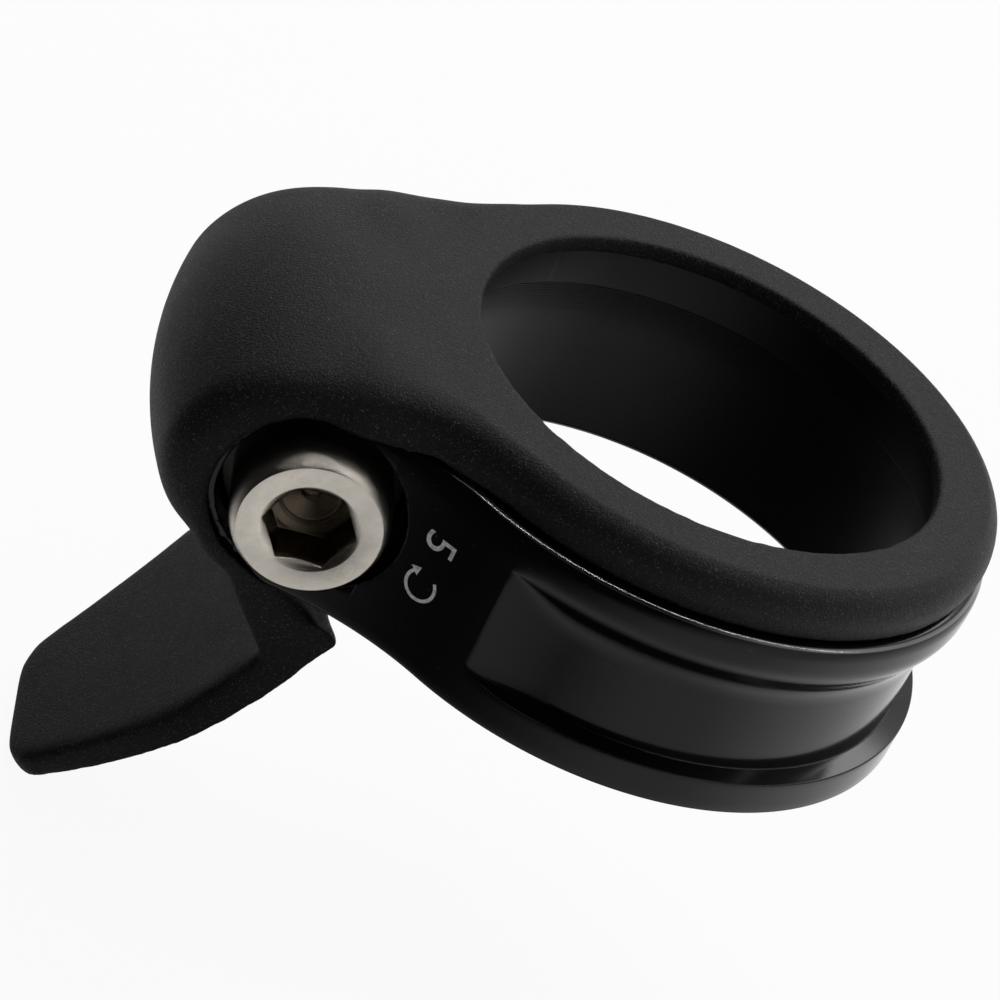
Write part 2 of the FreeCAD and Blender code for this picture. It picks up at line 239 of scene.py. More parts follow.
def moulded_elastomer(settings):
    """Matte dark rubber with a fine leathery grain, light flecks and soft mottling."""
    material, shop = new_finish("matte_moulded_elastomer")
    place = shop.place()
    cloud = shop.noise(place, 0.3, 4.0, 0.6)
    grain = shop.noise(place, 6.0, 3.0, 0.75)
    stir = shop.node("ShaderNodeTexNoise", {}, {"Vector": place, "Scale": 9.0, "Detail": 1.0}, "Color")
    shifted = shop.node("ShaderNodeVectorMath", {"operation": "MULTIPLY_ADD"},
                        {0: stir, 1: (0.16, 0.16, 0.16), 2: place})
    cells = shop.node("ShaderNodeTexVoronoi", {}, {"Vector": shifted, "Scale": 10.5, "Randomness": 1.0})
    lot = shop.node("ShaderNodeSeparateColor", {}, {0: Term(shop, cells.socket.node.outputs["Color"])})
    fleck = cells.ramp(0.46, 0.32) * lot.ramp(0.72, 0.98)
    tone = shop.tint((grain * 0.7 + cloud * 0.3).ramp(0.36, 0.64), rgba(settings.colour, 0.4),
                     rgba(settings.colour, 1.7))
    colour = shop.tint(fleck * settings.speckle, tone, (0.2, 0.2, 0.21, 1.0))
    roughness = settings.roughness + (cloud - 0.5) * 0.12 + (grain - 0.5) * 0.4 - fleck * 0.15
    shop.surface(Base_Color=colour, Roughness=roughness, IOR=1.33,
                 Normal=shop.bump(grain + fleck * 0.4, 1.0, 0.00014))
    return material


def nickel_plate(settings):
    """Plated steel with fine grain, duller, darker and browner down in the socket: partly its own brown,
    partly painted shade in the recess.
    """
    material, shop = new_finish("nickel_plate")
    place = shop.place()
    x, y, z = shop.parts(place)
    depth = y - HEAD_Y / MM
    socket_brown_and_shade = depth.ramp(0.25, 0.9) * from_screw(x, z).ramp(3.1, 2.95)
    grain = shop.noise(place, 7.0, 4.0, 0.65)
    cloud = shop.noise(place, 0.9, 3.0)
    fine = shop.noise(place, 28.0, 2.0)
    tone = shop.tint(cloud.ramp(0.3, 0.75), rgba(settings.colour), rgba(settings.colour, 0.9))
    # Partly painted shade: the colour darkens with depth into the socket, besides the socket's own brown.
    colour = shop.tint(socket_brown_and_shade, tone, (0.16, 0.13, 0.095, 1.0))
    roughness = settings.roughness + (grain - 0.5) * 0.16 - socket_brown_and_shade * 0.06
    shop.surface(Base_Color=colour, Metallic=1.0, Roughness=roughness,
                 Normal=shop.bump(grain + fine * 0.6, 0.5, 0.00003))
    return material


def washer_steel_in_painted_shade():
    """Steel of the washer, coloured near black as painted shade for the counterbore it sits in, with turned
    rings about the screw.
    """
    material, shop = new_finish("turned_steel")
    place = shop.place()
    x, y, z = shop.parts(place)
    spiral = shop.node("ShaderNodeCombineXYZ", {}, {0: from_screw(x, z), 1: y * 0.3, 2: 0.0})
    rings = shop.noise(spiral, 9.0, 3.0)
    stain = shop.noise(place, 0.8, 3.0)
    # Painted shade: both tones are near black, standing in for the shade in the counterbore round the washer.
    colour = shop.tint(stain.ramp(0.3, 0.75), (0.06, 0.058, 0.056, 1.0), (0.04, 0.039, 0.038, 1.0))
    shop.surface(Base_Color=colour, Metallic=1.0, Roughness=0.28 + rings * 0.18,
                 Normal=shop.bump(rings, 0.2, 0.00002))
    return material


def mark_paint():
    """White printed ink, a little worn."""
    material, shop = new_finish("white_print")
    place = shop.place()
    wear = shop.noise(place, 4.0, 3.0)
    colour = shop.tint(wear.ramp(0.3, 0.62), (0.42, 0.42, 0.43, 1.0), (0.74, 0.74, 0.75, 1.0))
    shop.surface(Base_Color=colour, Roughness=0.5 + wear * 0.2)
    return material


def add_piece(name, mesh, body, slot, material, *nodes):
    """Put a mesh in the scene as a piece that rides on a body."""
    piece = bpy.data.objects.new(name, mesh)
    bpy.context.scene.collection.objects.link(piece)
    mesh.materials.clear()
    mesh.materials.append(material)
    for face in mesh.polygons:
        face.use_smooth = True
        face.material_index = 0
    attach(piece, body)
    if nodes:
        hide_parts(*nodes)
    return piece


def finished_mesh(piece):
    """The piece's mesh with its modifiers carried out."""
    graph = bpy.context.evaluated_depsgraph_get()
    return bpy.data.meshes.new_from_object(piece.evaluated_get(graph))


def welded(mesh):
    """A node's mesh for editing, its split corners joined."""
    work = bmesh.new()
    work.from_mesh(mesh)
    bmesh.ops.remove_doubles(work, verts=work.verts, dist=0.002 * MM)
    return work


def written(work, name):
    """New mesh from an edited one, its faces turned outwards."""
    bmesh.ops.recalc_face_normals(work, faces=work.faces)
    mesh = bpy.data.meshes.new(name)
    work.to_mesh(mesh)
    work.free()
    return mesh


class CollarSettings(bpy.types.PropertyGroup):
    edge_round: FloatProperty(name="Edge round", description="Width of the collar's rounded edges",
                              default=0.1 * MM, min=0.02 * MM, max=0.4 * MM, unit="LENGTH")
    colour: FloatVectorProperty(name="Colour", description="Dyed surface of the aluminium", size=3,
                                subtype="COLOR", default=(0.003, 0.003, 0.0033), min=0.0, max=1.0)
    roughness: FloatProperty(name="Roughness", description="How blurred the collar's reflections are",
                             default=0.14, min=0.0, max=1.0, subtype="FACTOR")


class CoverSettings(bpy.types.PropertyGroup):
    voxel: FloatProperty(name="Mesh size", description="Size of the cover's mesh before it is smoothed",
                         default=0.25 * MM, min=0.2 * MM, max=1.0 * MM, unit="LENGTH")
    smoothing: IntProperty(name="Smoothing", description="Passes that soften the moulded edges",
                           default=4, min=0, max=60)
    colour: FloatVectorProperty(name="Colour", description="Elastomer between its flecks", size=3,
                                subtype="COLOR", default=(0.003, 0.003, 0.0032), min=0.0, max=1.0)
    speckle: FloatProperty(name="Speckle", description="Strength of the light flecks", default=0.5,
                           min=0.0, max=1.0, subtype="FACTOR")
    roughness: FloatProperty(name="Roughness", description="How matte the elastomer is", default=0.5,
                             min=0.0, max=1.0, subtype="FACTOR")


class ScrewSettings(bpy.types.PropertyGroup):
    head_round: FloatProperty(name="Head edge", description="Radius of the head's rounded edge",
                              default=0.85 * MM, min=0.2 * MM, max=1.5 * MM, unit="LENGTH")
    hex_flats: FloatProperty(name="Hexagon", description="Size of the socket across its flats",
                             default=5.0 * MM, min=3.0 * MM, max=7.0 * MM, unit="LENGTH")
    hex_depth: FloatProperty(name="Socket depth", description="Depth of the socket's flat sides",
                             default=3.2 * MM, min=1.0 * MM, max=4.5 * MM, unit="LENGTH")
    pitch: FloatProperty(name="Thread pitch", description="Distance between the thread's crests",
                         default=1.0 * MM, min=0.5 * MM, max=1.5 * MM, unit="LENGTH")
    colour: FloatVectorProperty(name="Colour", description="Nickel plating", size=3, subtype="COLOR",
                                default=(0.76, 0.71, 0.63), min=0.0, max=1.0)
    roughness: FloatProperty(name="Roughness", description="How blurred the plating's reflections are",
                             default=0.22, min=0.0, max=1.0, subtype="FACTOR")


class MarkSettings(bpy.types.PropertyGroup):
    height: FloatProperty(name="Height", description="Height of the printed numeral", default=2.0 * MM,
                          min=0.5 * MM, max=4.0 * MM, unit="LENGTH")


class StageSettings(bpy.types.PropertyGroup):
    floor_colour: FloatVectorProperty(name="Floor", description="Colour of the floor", size=3,
                                      subtype="COLOR", default=(0.85, 0.85, 0.85), min=0.0, max=1.0)
    strip_power: FloatProperty(name="Strip light", description="Power of the narrow light straight above",
                               default=0.5, min=0.0, max=50.0, unit="POWER")
    key_power: FloatProperty(name="Softbox", description="Power of the overhead softbox", default=1.25,
                             min=0.0, max=50.0, unit="POWER")


class CLAMP_OT_collar(bpy.types.Operator):
    """Build the split collar with rounded edges"""
    bl_idname = "clamp.collar"
    bl_label = "Collar"

    def execute(self, context):
        settings = context.scene.clamp_collar
        blank = bpy.data.objects.new("collar_blank", collar_mesh())
        cutter = bpy.data.objects.new("screw_hole", hole_mesh())
        for thing in (blank, cutter):
            context.scene.collection.objects.link(thing)
        drill = blank.modifiers.new("screw hole", "BOOLEAN")
        drill.operation = "DIFFERENCE"
        drill.solver = "EXACT"
        drill.object = cutter
        bevel = blank.modifiers.new("edges", "BEVEL")
        bevel.width = settings.edge_round
        bevel.segments = 2
        bevel.limit_method = "ANGLE"
        bevel.angle_limit = math.radians(50)
        bevel.use_clamp_overlap = False
        drilled = finished_mesh(blank)
        for thing in (blank, cutter):
            bpy.data.objects.remove(thing)
        if len(drilled.vertices) < 1000:
            raise RuntimeError("the screw's hole could not be cut in the collar")
        finish = black_anodising(settings)
        piece = add_piece("collar_body", drilled, "collar", "anodised", finish, "clamp_ring")
        piece.modifiers.new("flat faces", "WEIGHTED_NORMAL")
        return {"FINISHED"}


def rounded(corners):
    """Chain of (across, height) points through corners (across, height, round length)."""
    chain = []
    count = len(corners)
    for i in range(count):
        here = Vector(corners[i][:2])
        before = Vector(corners[i - 1][:2]) - here
        after = Vector(corners[(i + 1) % count][:2]) - here
        start = here + before.normalized() * min(corners[i][2], before.length * 0.45)
        end = here + after.normalized() * min(corners[i][2], after.length * 0.45)
        for step in range(ROUND_STEPS + 1):
            t = step / ROUND_STEPS
            chain.append(start * (1 - t) ** 2 + here * (2 * t * (1 - t)) + end * t ** 2)
    return chain


def collar_section(waist):
    """Closed section of the collar in mm: (side, across, height).

    Side 0 is measured from the axis, side 1 in from the outside.
    waist is 0 where the groove has run out and 1 where it is at full depth."""
    deep = WAIST_DEPTH * waist
    inset = 1.0 - waist
    upper = -1.1 - 0.35 * inset ** 2
    lower = -9.55 + 0.75 * inset ** 2
    waist_r = WALL - deep - 0.001
    corners = [(BORE + 0.4, LOW, 0.08), (BORE, LOW + 0.4, 0.1), (BORE, 0.0, 0.03), (LEDGE, 0.0, 0.12),
               (LEDGE, SPIGOT_TOP, 0.12), (SPIGOT, SPIGOT_TOP, 0.12), (SPIGOT, TOP, 0.05),
               (WALL, TOP, 0.9), (WALL, upper, 0.7), (waist_r, upper - 1.6 * deep - 0.02, 1.1),
               *[(waist_r, z, 0.0) for z in (-5.7, -6.9, -8.1)],
               (waist_r, lower + 0.16 * deep + 0.02, 0.08), (WALL, lower, 0.1),
               *[(WALL, z, 0.0) for z in (-10.0, -10.6, -11.1)], (WALL, LOW, 0.34)]
    return [(0, p.x, p.y) if i < INNER_COUNT else (1, WALL - p.x, p.y) for i, p in enumerate(rounded(corners))]


def slit_section():
    """Section in the lugs: the inner side is the slit's plain face."""
    inner = [(0, 0.0, LOW + (TOP - LOW) * i / (INNER_COUNT - 1)) for i in range(INNER_COUNT)]
    return inner + collar_section(0.0)[INNER_COUNT:]


def collar_stations():
    """Rows of points for one half of the collar, from the front round to the lug's end, in mm."""
    screw_x = SCREW_X / MM
    turn = math.atan2(BLEND.y, BLEND.x)
    end = math.acos(WAIST_END_X / WALL)
    rows = []

    def row(section, outer, inward, inner):
        points = []
        for side, across, z in section:
            xy = inner(across) if side == 0 else outer + inward * across
            if xy.x < screw_x:
                half = math.sqrt(max(NOSE_R ** 2 - (xy.x - screw_x) ** 2, 0.0))
                z = min(max(z, NOSE_Z - half), NOSE_Z + half)
            points.append(Vector((xy.x, xy.y, z)) * MM)
        rows.append(points)

    # The ring, with close rows where the waist runs out.
    angles = [end * i / 90 for i in range(80)]
    angles += [end - WAIST_RUN_OUT + WAIST_RUN_OUT * i / 24 for i in range(25)]
    angles += [end + 0.004] + [end + (turn - end) * i / 8 for i in range(1, 8)]
    for angle in sorted(set(angles)):
        out = Vector((math.cos(angle), math.sin(angle)))
        depth = min(max((end - angle) / WAIST_RUN_OUT, 0.0), 1.0)
        depth = 1.0 - (1.0 - depth) ** 2.0
        row(collar_section(depth), out * WALL, -out, lambda r, out=out: out * r)

    # The hollow curve to the lugs, outside the bore and then outside the slit.
    last_in = math.pi - math.asin(SLIT_HALF / BORE)
    steps = 40
    turned = -math.atan2(BLEND.y, -BLEND.x)
    corner = math.radians(-70)
    for i in range(steps + 1):
        share = i / steps
        a = turned + (corner - turned) * share
        inward = Vector((math.cos(a), math.sin(a)))
        angle = turn + (last_in - turn) * share
        out = Vector((math.cos(angle), math.sin(angle)))
        inner = lambda r, out=out: out * r
        if i == steps:
            inner = lambda r: Vector((-math.sqrt(r * r - SLIT_HALF * SLIT_HALF), SLIT_HALF))
        row(collar_section(0.0), BLEND + inward * BLEND_R, inward, inner)
    for i in range(31):
        a = corner + (math.radians(-90) - corner) * i / 30
        inward = Vector((math.cos(a), math.sin(a)))
        outer = BLEND + inward * BLEND_R
        row(slit_section(), outer, inward, lambda r, x=outer.x: Vector((x, SLIT_HALF)))

    # The lug's flat face, round to its nose, where the last row closes to one line.
    start = math.asin((screw_x - BLEND.x) / NOSE_R)
    nose_rows = 14
    for i in range(1, nose_rows + 1):
        x = screw_x - NOSE_R * math.sin(start + (math.pi / 2 - start) * i / nose_rows)
        section = slit_section()
        if i == nose_rows:
            section = [(side, 0.0, z) for side, across, z in section]
        row(section, Vector((x, LUG_FACE)), Vector((0, -1)), lambda r, x=x: Vector((x, SLIT_HALF)))
    return rows


def collar_mesh():
    """Both halves of the collar as one closed skin, without the screw's hole."""
    half = collar_stations()
    mirrored = [[Vector((p.x, -p.y, p.z)) for p in row] for row in half]
    work = bmesh.new()
    lathe(work, list(reversed(mirrored[1:])) + half)
    bmesh.ops.remove_doubles(work, verts=work.verts, dist=0.0005 * MM)
    bmesh.ops.dissolve_degenerate(work, edges=work.edges, dist=0.0005 * MM)
    if any(len(edge.link_faces) != 2 for edge in work.edges):
        raise RuntimeError("the collar's skin is not closed")
    return written(work, "collar_body")


def hole_mesh():
    """Solid that the screw's hole and counterbore are cut with."""
    work = bmesh.new()
    angles = [2 * math.pi * i / 160 for i in range(160)]
    sink_r = (WASHER_BOX[1][0] - WASHER_BOX[0][0]) / 2 / MM + 0.15
    steps = ((sink_r, -20.0), (sink_r, SINK_FLOOR_Y), (SHANK_HOLE_R, SINK_FLOOR_Y), (SHANK_HOLE_R, 0.0),
             (TAPPED_HOLE_R, 0.0), (TAPPED_HOLE_R, 20.0))
    lathe(work, [[on_screw(r * MM, a, y * MM) for a in angles] for r, y in steps], True, True)
    return written(work, "screw_hole")


class CLAMP_OT_cover(bpy.types.Operator):
    """Build the soft moulded cover with blended edges"""
    bl_idname = "clamp.cover"
    bl_label = "Cover"

    def execute(self, context):
        settings = context.scene.clamp_cover
        rough = bpy.data.objects.new("cover_rough", webbed_mesh(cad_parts["cover"].data))
        context.scene.collection.objects.link(rough)
        remesh = rough.modifiers.new("even", "REMESH")
        remesh.mode = "VOXEL"
        remesh.voxel_size = settings.voxel
        mesh = finished_mesh(rough)
        bpy.data.objects.remove(rough)
        if len(mesh.vertices) < 1000:
            raise RuntimeError("the cover's even mesh came out empty")
        soften(mesh, settings.smoothing)
        clear_of(mesh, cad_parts["clamp_ring"].data, 0.05 * MM)
        add_piece("soft_cover", mesh, "collar", "elastomer", moulded_elastomer(settings), "cover")
        return {"FINISHED"}


def webbed_mesh(mesh):
    """Copy of the cover with webs between hood and tongue at both sides, so that the sides come out flat."""
    work = welded(mesh)
    outline = ((-17.15, -14.2), (-20.3, -17.6), (-21.5, -16.9), (-24.4, -13.4), (-25.6, -11.2),
               (-22.0, -12.3))
    for side in (-1, 1):
        ends = [[Vector((x, side * y, z)) * MM for x, z in outline] for y in (10.4, HOOD_HALF)]
        lathe(work, ends, True, True)
    return written(work, "cover_rough")


def step_up(values, low, high):
    """0 below low, 1 above high and a soft step between; low may be the larger."""
    t = np.clip((values - low) / (high - low), 0.0, 1.0)
    return t * t * (3.0 - 2.0 * t)


def set_out_tongue(points):
    """Make the tongue's sides run on flat from the web under the hood, and lengthen its free end.

    Gives the moved points and how much each one may round: the edges of the outer face, not of the inner."""
    x, y, z = points.T
    from_x, from_z = x - TONGUE_ROOT[0], z - TONGUE_ROOT[1]
    along = from_x * TONGUE_WAY[0] + from_z * TONGUE_WAY[1]
    out = from_x * TONGUE_WAY[1] - from_z * TONGUE_WAY[0]
    share = np.clip(along / TONGUE_LENGTH, 0.0, 1.0)
    face = 2.7 - 0.85 * share - 5.0 * share * (1.0 - share)
    solid_half = np.interp(along, (-2.7, 2.7, 12.87, TONGUE_LENGTH), (HOOD_HALF, 10.95, 10.4, 5.7))
    half = np.interp(along, (-2.7, 3.0, 12.87, TONGUE_LENGTH), (HOOD_HALF, 11.65, 10.75, 6.05))
    width = np.where(out > face + 0.05, half / HOOD_HALF, half / solid_half)
    side = np.sign(y) * np.minimum(np.abs(y) * width, half)
    below = step_up(z, -10.5, -12.5)
    end = TONGUE_LONGER * step_up(along, 13.0, TONGUE_LENGTH)
    moved = points + np.stack([TONGUE_WAY[0] * end, (side - y) * below, TONGUE_WAY[1] * end], axis=1)
    tongue = step_up(z, -15.5, -19.0) * step_up(face - out, 1.8, 0.6)
    near_web = step_up(np.hypot(x + 22.5, z + 14.5), 5.0, 2.5) * step_up(np.abs(y), 7.5, 9.5)
    web = near_web * step_up(face - out, 0.6, 0.0)
    even = 0.12 * step_up(z, -14.0, -17.0)
    return moved, np.maximum(np.maximum(tongue, 0.7 * web), even)


def soften(mesh, passes):
    """Even out the mesh, round its edges, most on the tongue, and raise the hood's brow and the brim."""
    count = len(mesh.vertices)
    flat = np.empty(count * 3)
    mesh.vertices.foreach_get("co", flat)
    points = flat.reshape(-1, 3) / MM
    ends = np.empty(len(mesh.edges) * 2, dtype=int)
    mesh.edges.foreach_get("vertices", ends)
    one, two = ends[0::2], ends[1::2]
    degree = np.bincount(np.concatenate([one, two]), minlength=count)
    x, y, z = points.T
    lip = step_up(np.hypot(x, y), 17.0, 16.2) * step_up(z, 1.0, 2.0)
    points, round_off = set_out_tongue(points)

    def pull(share):
        """Points moved towards the middle of their neighbours."""
        total = np.stack([np.bincount(one, points[two, k], count) + np.bincount(two, points[one, k], count)
                          for k in range(3)], axis=1)
        middle = total / degree[:, None]
        return points + (middle - points) * share[:, None]

    free = 1.0 - 0.45 * lip
    even_passes, round_passes = 220, 60
    for turn in range(even_passes):
        points = pull(0.6 * free)
        points = pull(-0.61 * free)
    for turn in range(passes):
        points = pull(0.5 * free)
    for turn in range(round_passes):
        points = pull(0.5 * round_off)
    mesh.vertices.foreach_set("co", (points * MM).reshape(-1))
    mesh.update()
    normals = np.empty(count * 3)
    mesh.vertex_normals.foreach_get("vector", normals)
    x, y, z = points.T
    sides = step_up(np.abs(y), 3.0, 9.5) * step_up(z, 0.0, 1.5)
    brow = 0.45 * np.exp(-((x + 21.9) / 2.5) ** 2) - 0.12 * np.exp(-((x + 17.5) / 1.3) ** 2)
    brim = step_up(np.hypot(x, y), 17.2, 18.4) * step_up(z, 1.8, 3.0) * step_up(x, -16.5, -13.0)
    points = points + normals.reshape(-1, 3) * (brow * sides + 0.2 * brim)[:, None]
    points[:, 2] = np.minimum(points[:, 2], CAD_BOX[1][2] / MM)
    mesh.vertices.foreach_set("co", (points * MM).reshape(-1))
    mesh.update()


def clear_of(mesh, core_mesh, gap):
    """Move points that come too near a core, or into it, out to the gap."""
    core = welded(core_mesh)
    bmesh.ops.recalc_face_normals(core, faces=core.faces)
    tree = BVHTree.FromBMesh(core)
    for vert in mesh.vertices:
        near, normal, face, distance = tree.find_nearest(vert.co, 2.0 * MM)
        if near is None:
            continue
        side = (vert.co - near).dot(normal)
        if side < gap:
            vert.co += normal * (gap - side)
    core.free()
    mesh.update()


def lathe(work, rings, closed_start=False, closed_end=False):
    """Skin rings of points that have the same count; an end may be closed by a face."""
    rows = [[work.verts.new(point) for point in ring] for ring in rings]
    for one, two in zip(rows, rows[1:]):
        count = len(one)
        for i in range(count):
            j = (i + 1) % count
            work.faces.new((one[i], one[j], two[j], two[i]))
    if closed_start:
        work.faces.new(list(reversed(rows[0])))
    if closed_end:
        work.faces.new(rows[-1])
    return rows


def on_screw(radius, angle, y):
    """Point about the screw's axis."""
    return Vector((SCREW_X + radius * math.cos(angle), y, SCREW_Z + radius * math.sin(angle)))


class CLAMP_OT_screw(bpy.types.Operator):
    """Build the cap screw with its hexagon socket and thread"""
    bl_idname = "clamp.screw"
    bl_label = "Cap screw"

    def execute(self, context):
        settings = context.scene.clamp_screw
        work = bmesh.new()
        count = 144
        angles = [2 * math.pi * i / count for i in range(count)]
        head_r = (SCREW_BOX[1][0] - SCREW_BOX[0][0]) / 2
        seat_y = WASHER_BOX[0][1]
        shank_r = 2.95 * MM
        corner_r = settings.hex_flats / math.sqrt(3)
        mouth_r = corner_r + 0.14 * MM
        flat_r = settings.hex_flats / 2

        def hex_r(angle):
            return flat_r / math.cos((angle - 0.1) % (math.pi / 3) - math.pi / 6)

        def circle(radius, y):
            return [on_screw(radius, angle, y) for angle in angles]

        # The socket's cone, with the tool's ring and drop-shaped mark in it.
        rings = []
        cone_rings = 32
        for step in range(1, cone_rings + 1):
            share = 0.97 * step / cone_rings
            ring = []
            for angle in angles:
                across, up = flat_r * share * math.cos(angle) / MM, flat_r * share * math.sin(angle) / MM
                drop = 1.1 * (1 - share)
                drop += 0.07 * math.exp(-((share - 0.74) / 0.03) ** 2)
                tail = 0.16 if up < 0 else 0.16 * max(1 - up / 0.9, 0.15)
                drop -= 0.16 * math.exp(-(across / tail) ** 2 - ((up - 0.1) / 0.42) ** 2)
                drop += 0.10 * math.exp(-((math.hypot(across, up + 0.05) - 0.42) / 0.09) ** 2)
                ring.append(on_screw(flat_r * share, angle, HEAD_Y + settings.hex_depth + drop * MM))
            rings.append(ring)
        rings.append(circle(flat_r * 0.985, HEAD_Y + settings.hex_depth))
        # The hexagon's sides up to the countersink.
        for lift, inset in ((0.0, 0.12), (0.04, 0.04), (0.14, 0.0)):
            rings.append([on_screw(hex_r(a) - inset * MM, a, HEAD_Y + settings.hex_depth - lift * MM)
                          for a in angles])
        for drop in (0.10, 0.04, 0.0):
            ring = []
            for angle in angles:
                radius = hex_r(angle)
                depth = (mouth_r - radius) / 1.4 + drop * MM
                ring.append(on_screw(radius + (0.02 * MM if drop < 0.02 else 0.0), angle, HEAD_Y + depth))
            rings.append(ring)
        rings.append(circle(mouth_r - 0.03 * MM, HEAD_Y + 0.025 * MM))
        rings.append(circle(mouth_r + 0.03 * MM, HEAD_Y))
        # The head's rounded edge, its side and its underside.
        edge = settings.head_round
        first = 0.4
        for step in range(13):
            turn = first + (math.pi / 2 - first) * step / 12
            depth = 2.0 * edge * (math.cos(first) - math.cos(turn))
            rings.append(circle(head_r - edge * (1 - math.sin(turn)), HEAD_Y + depth))
        rings.append(circle(head_r, seat_y - 0.2 * MM))
        rings.append(circle(head_r - 0.06 * MM, seat_y - 0.06 * MM))
        rings.append(circle(head_r - 0.2 * MM, seat_y))
        rings.append(circle(shank_r + 0.1 * MM, seat_y))
        rings.append(circle(shank_r, seat_y + 0.1 * MM))
        # The shank, plain under the head and then threaded to the tip.
        plain_end = seat_y + 3.0 * MM
        rows = int((TIP_Y - plain_end) / (settings.pitch / 10))
        depth = 0.55 * settings.pitch
        for row in range(rows + 1):
            y = plain_end + (TIP_Y - plain_end) * row / rows
            run_in = min((y - plain_end) / settings.pitch, 1.0)
            tip = max(0.0, 0.7 * MM - (TIP_Y - y))
            ring = []
            for angle in angles:
                phase = (y / settings.pitch + angle / (2 * math.pi)) % 1.0
                fall = min(max(1.25 - abs(2 * phase - 1) * 1.5, 0.0), 1.0)
                radius = min(shank_r - depth * fall * run_in, shank_r - tip)
                ring.append(on_screw(radius, angle, y))
            rings.append(ring)
        lathe(work, rings, closed_start=True, closed_end=True)
        mesh = written(work, "cap_screw")
        add_piece("cap_screw", mesh, "screw", "nickel", nickel_plate(settings), "clamp_bolt")
        mesh.set_sharp_from_angle(angle=math.radians(40))
        return {"FINISHED"}


class CLAMP_OT_washer(bpy.types.Operator):
    """Build the washer under the screw's head"""
    bl_idname = "clamp.washer"
    bl_label = "Washer"

    def execute(self, context):
        work = bmesh.new()
        angles = [2 * math.pi * i / 120 for i in range(120)]
        outer = (WASHER_BOX[1][0] - WASHER_BOX[0][0]) / 2
        inner = 3.2 * MM
        near, far = WASHER_BOX[0][1], WASHER_BOX[1][1]
        turn = 0.14 * MM
        corners = []
        for radius, y, out_r, out_y in ((inner, near, -1, -1), (outer, near, 1, -1), (outer, far, 1, 1),
                                        (inner, far, -1, 1)):
            centre = (radius - out_r * turn, y - out_y * turn)
            start = math.atan2(out_y, out_r)
            for step in (-1, -0.33, 0.33, 1):
                a = start + step * math.pi / 4
                corners.append((centre[0] + turn * math.cos(a), centre[1] + turn * math.sin(a)))
        rings = [[on_screw(r, a, y) for a in angles] for r, y in corners]
        rows = lathe(work, rings)
        for i in range(len(angles)):
            j = (i + 1) % len(angles)
            work.faces.new((rows[-1][i], rows[-1][j], rows[0][j], rows[0][i]))
        mesh = written(work, "washer_ring")
        add_piece("washer_ring", mesh, "washer", "steel", washer_steel_in_painted_shade(), "washer")
        mesh.set_sharp_from_angle(angle=math.radians(50))
        return {"FINISHED"}


class CLAMP_OT_mark(bpy.types.Operator):
    """Print the tightening mark on the collar's flank"""
    bl_idname = "clamp.mark"
    bl_label = "Mark"

    def execute(self, context):
        height = context.scene.clamp_mark.height
        letter = bpy.data.curves.new("numeral", "FONT")
        letter.body = "5"
        letter.size = height * 1.5
        letter.resolution_u = 8
        holder = bpy.data.objects.new("numeral", letter)
        context.scene.collection.objects.link(holder)
        numeral = finished_mesh(holder)
        bpy.data.objects.remove(holder)
        work = bmesh.new()
        work.from_mesh(numeral)
        bpy.data.meshes.remove(numeral)
        low = min(v.co.x for v in work.verts)
        floor = min(v.co.y for v in work.verts)
        for vert in work.verts:
            vert.co.x -= low
            vert.co.y -= floor
        add_arrow(work, Vector((3.75 * MM, height / 2, 0)), height * 0.56)
        bmesh.ops.subdivide_edges(work, edges=[e for e in work.edges if e.calc_length() > 0.5 * MM], cuts=2)
        bmesh.ops.triangulate(work, faces=work.faces)
        # Lay the flat mark on the hollow curve by the screw, a hair proud of it.
        reach = (BLEND_R - 0.012) * MM
        middle, start_z = math.radians(57.2), -2.6 * MM
        for vert in work.verts:
            angle = middle - (vert.co.y - height / 2) / reach
            vert.co = Vector((BLEND.x * MM + reach * math.cos(angle), -BLEND.y * MM + reach * math.sin(angle),
                              start_z - vert.co.x))
        add_piece("tightening_mark", written(work, "tightening_mark"), "collar", "anodised", mark_paint())
        return {"FINISHED"}


def add_arrow(work, centre, radius):
    """Flat arc with an arrow head, for the way the screw is turned."""
    width = radius * 0.2
    steps = 40
    start, end = math.radians(130), math.radians(-130)
    rows = []
    for i in range(steps + 1):
        a = start + (end - start) * i / steps
        out = Vector((math.cos(a), math.sin(a), 0))
        rows.append((work.verts.new(centre + out * (radius - width)), work.verts.new(centre + out * radius)))
    for one, two in zip(rows, rows[1:]):
        work.faces.new((one[0], one[1], two[1], two[0]))
    out = Vector((math.cos(end), math.sin(end), 0))
    way = Vector((math.sin(end), -math.cos(end), 0))
    middle = centre + out * (radius - width / 2)
    head = (middle + out * width * 1.6, middle + way * width * 2.6, middle - out * width * 1.6)
    work.faces.new([work.verts.new(point) for point in head])


class CLAMP_OT_stage(bpy.types.Operator):
    """Set up the floor, the light and the camera"""
    bl_idname = "clamp.stage"
    bl_label = "Stage"

    def execute(self, context):
        settings = context.scene.clamp_stage
        scene = context.scene
        scene.view_settings.view_transform = "Standard"
        lay_floor(settings)
        light_world(scene)
        add_softbox("softbox_back", (0.09, 0.27, 0.34), (0.09, 0.0, 0.0), 0.5, 0.2, settings.key_power)
        add_softbox("strip_over", (0.08, -0.07, 0.5), (0.08, 0.0, 0.0), 1.1, 0.006, settings.strip_power)
        lens = bpy.data.cameras.new("camera")
        lens.lens = 144.0
        lens.sensor_width = 36.0
        lens.sensor_fit = "HORIZONTAL"
        lens.clip_start = 0.01
        camera = bpy.data.objects.new("camera", lens)
        place = Matrix.Translation((-0.06277, -0.20784, 0.12296))
        right = Vector((0.9238, 0.0022, 0.3826))
        up = Vector((-0.3173, 0.5629, 0.7631))
        back = right.cross(up).normalized()
        up = back.cross(right).normalized()
        camera.matrix_world = place @ Matrix((right, up, back)).transposed().to_4x4()
        scene.collection.objects.link(camera)
        scene.camera = camera
        return {"FINISHED"}


